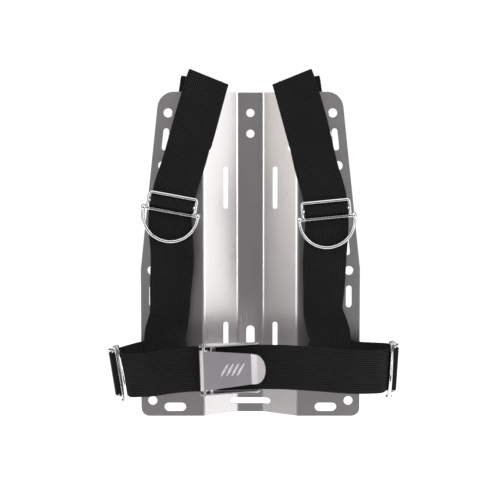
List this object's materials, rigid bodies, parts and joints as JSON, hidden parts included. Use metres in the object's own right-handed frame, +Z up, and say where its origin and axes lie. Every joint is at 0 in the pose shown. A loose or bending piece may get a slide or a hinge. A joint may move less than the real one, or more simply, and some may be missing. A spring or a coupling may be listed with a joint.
{
  "type": "diving backplate harness",
  "caption": "Folded steel diving backplate with a webbing shoulder and waist harness, wire slides, hinged D-rings and a lever buckle.",
  "frame": {"origin": "on the rear face of the plate's channel, midway between the two cylinder bolts", "axes": "+Z up along the plate, -Y towards the wearer and the buckle, +Y towards the cylinder, +X to the viewer's right when looking at the buckle side"},
  "size_m": [0.3499, 0.1289, 0.4214],
  "materials": {
    "plate_steel": "satin brushed stainless sheet",
    "wire_steel": "polished stainless wire",
    "buckle_steel": "polished stainless with a satin lever",
    "webbing": "black woven nylon webbing"
  },
  "bodies": {
    "harness": {"backplate": "plate_steel", "shoulder_strap_left": "webbing", "shoulder_slide_left": "wire_steel", "hip_slide_left": "wire_steel", "top_slide_left": "wire_steel", "low_slide_left": "wire_steel", "shoulder_strap_right": "webbing", "shoulder_slide_right": "wire_steel", "hip_slide_right": "wire_steel", "top_slide_right": "wire_steel", "low_slide_right": "wire_steel", "waist_strap_left": "webbing", "waist_strap_right": "webbing", "buckle_frame": "buckle_steel", "buckle_pin": "buckle_steel"},
    "buckle_lever_body": {"buckle_lever": "buckle_steel"},
    "hip_d_ring_left_body": {"hip_d_ring_left": "wire_steel"},
    "hip_d_ring_right_body": {"hip_d_ring_right": "wire_steel"},
    "shoulder_d_ring_left_body": {"shoulder_d_ring_left": "wire_steel"},
    "shoulder_d_ring_right_body": {"shoulder_d_ring_right": "wire_steel"}
  },
  "joints": [
    {"name": "shoulder_d_ring_left_swing", "type": "hinge", "parent": "harness", "child": "shoulder_d_ring_left_body", "pos_m": [-0.09274, -0.07285, 0.02301], "axis": [-0.9833, 0, 0.1822], "range_deg": [0, 150]},
    {"name": "shoulder_d_ring_right_swing", "type": "hinge", "parent": "harness", "child": "shoulder_d_ring_right_body", "pos_m": [0.08892, -0.07285, 0.0161], "axis": [-0.9954, 0, -0.0958], "range_deg": [0, 150]},
    {"name": "hip_d_ring_left_swing", "type": "hinge", "parent": "harness", "child": "hip_d_ring_left_body", "pos_m": [-0.15426, -0.05904, -0.17005], "axis": [0.1564, 0, -0.9877], "range_deg": [-10, 140]},
    {"name": "hip_d_ring_right_swing", "type": "hinge", "parent": "harness", "child": "hip_d_ring_right_body", "pos_m": [0.16611, -0.05926, -0.16535], "axis": [0.061, 0, 0.9981], "range_deg": [-10, 140]},
    {"name": "buckle_lever_open", "type": "hinge", "parent": "harness", "child": "buckle_lever_body", "pos_m": [-0.052, -0.1202, -0.15261], "axis": [0.0349, 0, -0.9994], "range_deg": [0, 140]}
  ]
}
